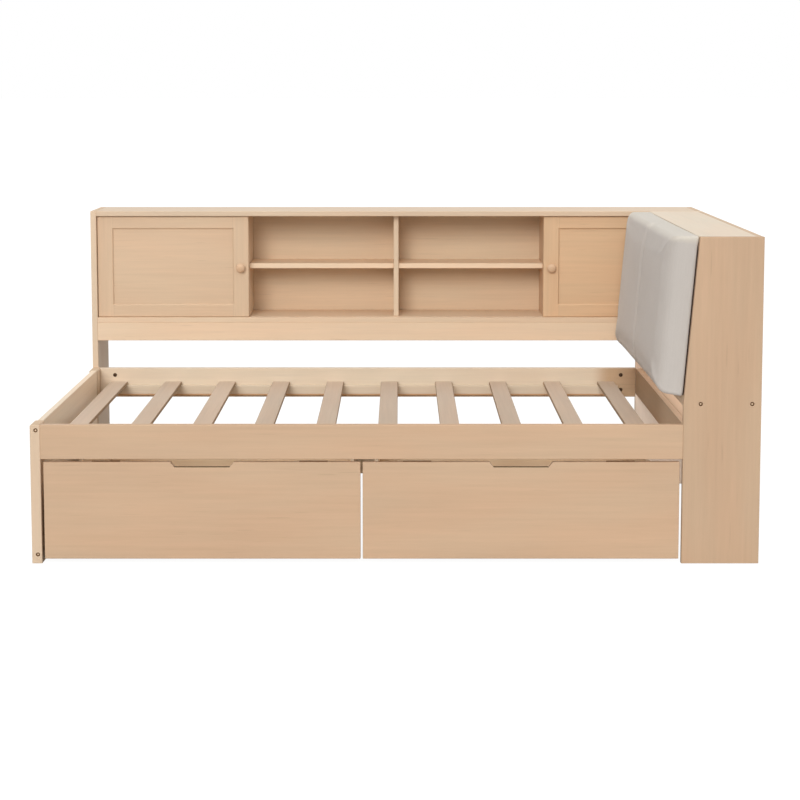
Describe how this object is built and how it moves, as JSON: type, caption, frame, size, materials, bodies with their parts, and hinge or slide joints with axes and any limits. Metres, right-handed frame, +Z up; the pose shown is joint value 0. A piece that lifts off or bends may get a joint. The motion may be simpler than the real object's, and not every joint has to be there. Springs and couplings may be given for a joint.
{
  "type": "daybed",
  "caption": "L-shaped wooden daybed with a slatted base, rolling underbed drawers, a padded leaning backrest at one end and a bookcase with sliding doors along the back.",
  "frame": {"origin": "on the floor, under the middle of the whole piece's box", "axes": "+X along the bed from the foot to the padded headboard, +Y from the open front to the bookcase, +Z up"},
  "size_m": [2.18, 1.24, 0.984],
  "materials": {
    "wood": "clear satin lacquer on pale rubberwood and pine",
    "slat_wood": "bare planed pine, a little greyer",
    "backing_wood": "thin faced panel, satin",
    "box_wood": "plain sanded board",
    "cushion_cloth": "fine linen-look weave, light grey",
    "wheel_plastic": "dark nylon"
  },
  "bodies": {
    "frame": {"front_left_post": "wood", "rear_left_post": "wood", "foot_panel": "wood", "front_rail": "wood", "back_rail": "wood", "front_ledger": "wood", "back_ledger": "wood", "slat_1": "slat_wood", "slat_2": "slat_wood", "slat_3": "slat_wood", "slat_4": "slat_wood", "slat_5": "slat_wood", "slat_6": "slat_wood", "slat_7": "slat_wood", "slat_8": "slat_wood", "slat_9": "slat_wood", "slat_10": "slat_wood", "headboard_front_side": "wood", "headboard_rear_side": "wood", "headboard_rail": "wood", "headboard_ledge": "wood", "headboard_floor_board": "wood", "headboard_outer_panel": "wood", "headboard_top": "wood", "backrest_board": "backing_wood", "backrest_cushion": "cushion_cloth", "bookcase_left_side": "wood", "bookcase_right_side": "wood", "bookcase_top": "wood", "bookcase_floor": "wood", "bookcase_apron": "wood", "bookcase_stretcher": "wood", "bookcase_back": "backing_wood", "bookcase_divider": "wood", "left_partition": "wood", "right_partition": "wood", "left_shelf": "wood", "right_shelf": "wood"},
    "left_sliding_door": {"left_door": "wood", "left_door_knob": "wood"},
    "right_sliding_door": {"right_door": "wood", "right_door_knob": "wood"},
    "left_drawer": {"left_drawer_front": "wood", "left_drawer_left_wall": "box_wood", "left_drawer_right_wall": "box_wood", "left_drawer_back_wall": "box_wood", "left_drawer_bottom": "box_wood"},
    "right_drawer": {"right_drawer_front": "wood", "right_drawer_left_wall": "box_wood", "right_drawer_right_wall": "box_wood", "right_drawer_back_wall": "box_wood", "right_drawer_bottom": "box_wood"},
    "left_wheel_1": {"left_caster_wheel_1": "wheel_plastic"},
    "left_wheel_2": {"left_caster_wheel_2": "wheel_plastic"},
    "left_wheel_3": {"left_caster_wheel_3": "wheel_plastic"},
    "left_wheel_4": {"left_caster_wheel_4": "wheel_plastic"},
    "right_wheel_1": {"right_caster_wheel_1": "wheel_plastic"},
    "right_wheel_2": {"right_caster_wheel_2": "wheel_plastic"},
    "right_wheel_3": {"right_caster_wheel_3": "wheel_plastic"},
    "right_wheel_4": {"right_caster_wheel_4": "wheel_plastic"}
  },
  "joints": [
    {"name": "left_door_slide", "type": "slide", "parent": "frame", "child": "left_sliding_door", "axis": [1, 0, 0], "range_m": [0, 0.525]},
    {"name": "right_door_slide", "type": "slide", "parent": "frame", "child": "right_sliding_door", "axis": [-1, 0, 0], "range_m": [0, 0.525]},
    {"name": "left_drawer_pull", "type": "slide", "parent": "frame", "child": "left_drawer", "axis": [0, -1, 0], "range_m": [0, 0.85]},
    {"name": "right_drawer_pull", "type": "slide", "parent": "frame", "child": "right_drawer", "axis": [0, -1, 0], "range_m": [0, 0.85]},
    {"name": "left_wheel_1_spin", "type": "hinge", "parent": "left_drawer", "child": "left_wheel_1", "pos_m": [-0.9515, -0.512, 0.02], "axis": [1, 0, 0], "continuous": true},
    {"name": "left_wheel_2_spin", "type": "hinge", "parent": "left_drawer", "child": "left_wheel_2", "pos_m": [-0.9515, 0.217, 0.02], "axis": [1, 0, 0], "continuous": true},
    {"name": "left_wheel_3_spin", "type": "hinge", "parent": "left_drawer", "child": "left_wheel_3", "pos_m": [-0.20425, -0.512, 0.02], "axis": [1, 0, 0], "continuous": true},
    {"name": "left_wheel_4_spin", "type": "hinge", "parent": "left_drawer", "child": "left_wheel_4", "pos_m": [-0.20425, 0.217, 0.02], "axis": [1, 0, 0], "continuous": true},
    {"name": "right_wheel_1_spin", "type": "hinge", "parent": "right_drawer", "child": "right_wheel_1", "pos_m": [0.00225, -0.512, 0.02], "axis": [1, 0, 0], "continuous": true},
    {"name": "right_wheel_2_spin", "type": "hinge", "parent": "right_drawer", "child": "right_wheel_2", "pos_m": [0.00225, 0.217, 0.02], "axis": [1, 0, 0], "continuous": true},
    {"name": "right_wheel_3_spin", "type": "hinge", "parent": "right_drawer", "child": "right_wheel_3", "pos_m": [0.7495, -0.512, 0.02], "axis": [1, 0, 0], "continuous": true},
    {"name": "right_wheel_4_spin", "type": "hinge", "parent": "right_drawer", "child": "right_wheel_4", "pos_m": [0.7495, 0.217, 0.02], "axis": [1, 0, 0], "continuous": true}
  ]
}
